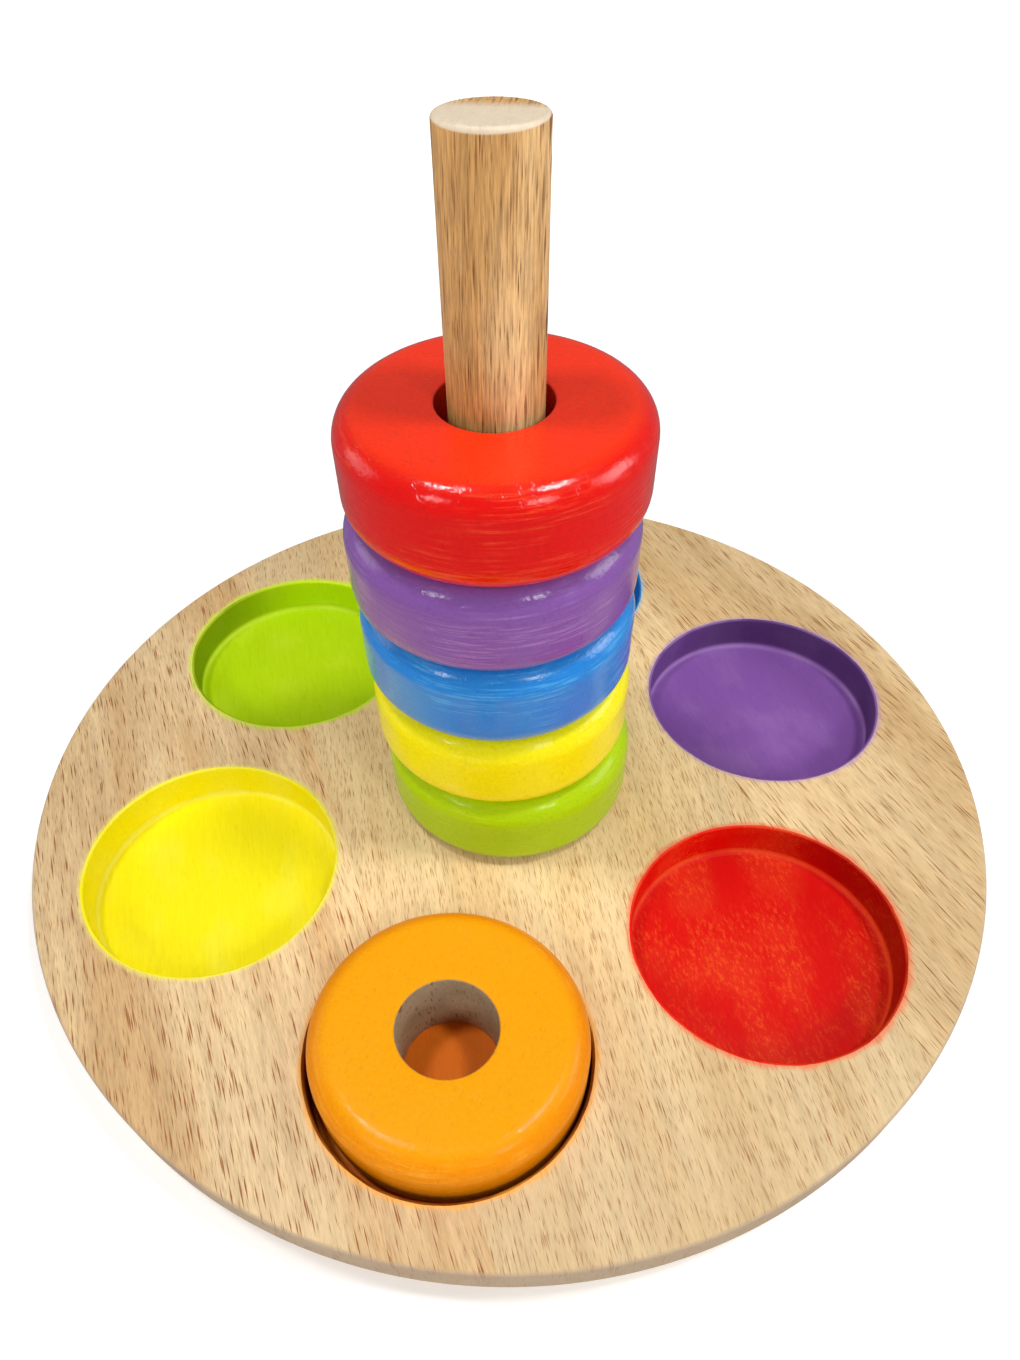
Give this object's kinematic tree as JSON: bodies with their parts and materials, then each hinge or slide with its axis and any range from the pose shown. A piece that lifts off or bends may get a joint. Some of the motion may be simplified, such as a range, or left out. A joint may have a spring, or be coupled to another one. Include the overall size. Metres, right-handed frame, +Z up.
{
  "type": "ring stacking toy",
  "caption": "Round wooden board with shallow round recesses and a central peg that holds painted rings; each ring also fits a recess of its own colour.",
  "frame": {"origin": "centre of the board's underside", "axes": "+Z up along the peg, -Y towards the recess that holds the orange ring"},
  "size_m": [0.282, 0.282, 0.193],
  "materials": {
    "board_beech": "sanded, clear satin lacquer; recesses painted",
    "peg_beech": "turned dowel, clear satin lacquer",
    "green_paint": "beech under green satin lacquer, bare bore",
    "yellow_paint": "beech under yellow satin lacquer, bare bore",
    "blue_paint": "beech under blue satin lacquer, bare bore",
    "purple_paint": "beech under purple satin lacquer, bare bore",
    "red_paint": "beech under red satin lacquer, bare bore",
    "orange_paint": "beech under orange satin lacquer, bare bore"
  },
  "bodies": {
    "base": {"board_left_stave": "board_beech", "board_middle_stave": "board_beech", "board_right_stave": "board_beech", "peg": "peg_beech"},
    "green_ring": {"green_ring": "green_paint"},
    "yellow_ring": {"yellow_ring": "yellow_paint"},
    "blue_ring": {"blue_ring": "blue_paint"},
    "purple_ring": {"purple_ring": "purple_paint"},
    "red_ring": {"red_ring": "red_paint"},
    "orange_ring": {"orange_ring": "orange_paint"}
  },
  "joints": [
    {"name": "green_ring_lift", "type": "slide", "parent": "base", "child": "green_ring", "axis": [0, 0, 1], "range_m": [0, 0.178]},
    {"name": "yellow_ring_lift", "type": "slide", "parent": "green_ring", "child": "yellow_ring", "axis": [0, 0, 1], "range_m": [0, 0.1536]},
    {"name": "blue_ring_lift", "type": "slide", "parent": "yellow_ring", "child": "blue_ring", "axis": [0, 0, 1], "range_m": [0, 0.1292]},
    {"name": "purple_ring_lift", "type": "slide", "parent": "blue_ring", "child": "purple_ring", "axis": [0, 0, 1], "range_m": [0, 0.1048]},
    {"name": "red_ring_lift", "type": "slide", "parent": "purple_ring", "child": "red_ring", "axis": [0, 0, 1], "range_m": [0, 0.0804]},
    {"name": "orange_ring_lift", "type": "slide", "parent": "base", "child": "orange_ring", "axis": [0, 0, 1], "range_m": [0, 0.04]}
  ]
}
